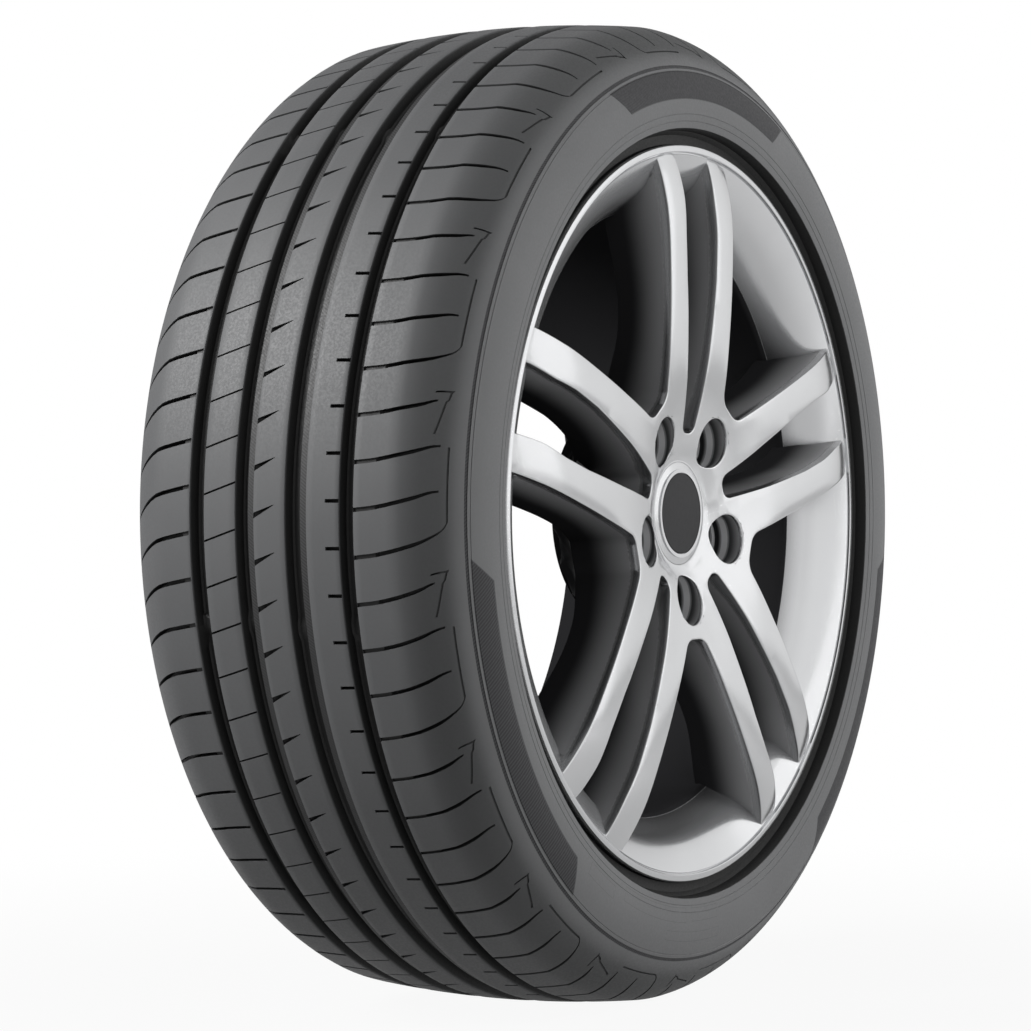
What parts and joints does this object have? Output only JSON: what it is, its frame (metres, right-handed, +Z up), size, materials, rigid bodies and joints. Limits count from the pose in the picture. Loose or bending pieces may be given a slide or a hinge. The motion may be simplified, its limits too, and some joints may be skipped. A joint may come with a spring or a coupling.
{
  "type": "car tyre on alloy wheel",
  "caption": "Low-profile car tyre with grooved tread, mounted on a cast alloy wheel with double spokes, centre cap and tubeless valve; bolts to a car's hub.",
  "frame": {"origin": "centre of the wheel and tyre, on the axle line, midway between the two sidewalls", "axes": "+Y along the axle to the car's side, so the outer face looks along -Y; +Z up; +X to the right seen from outside"},
  "size_m": [0.6342, 0.24, 0.6342],
  "materials": {
    "tyre_rubber": "matte black rubber",
    "wheel_alloy": "satin silver lacquer",
    "cap_silver": "silver lacquer",
    "cap_dark": "dark, plain",
    "valve_rubber": "matte",
    "valve_brass": "turned",
    "valve_plastic": "moulded"
  },
  "bodies": {
    "root": {"tyre": "tyre_rubber", "alloy_wheel": "wheel_alloy", "centre_cap": "cap_silver", "centre_cap_disc": "cap_dark", "valve_stem": "valve_rubber", "valve_sleeve": "valve_brass", "valve_core": "valve_brass", "valve_cap": "valve_plastic"}
  },
  "joints": []
}
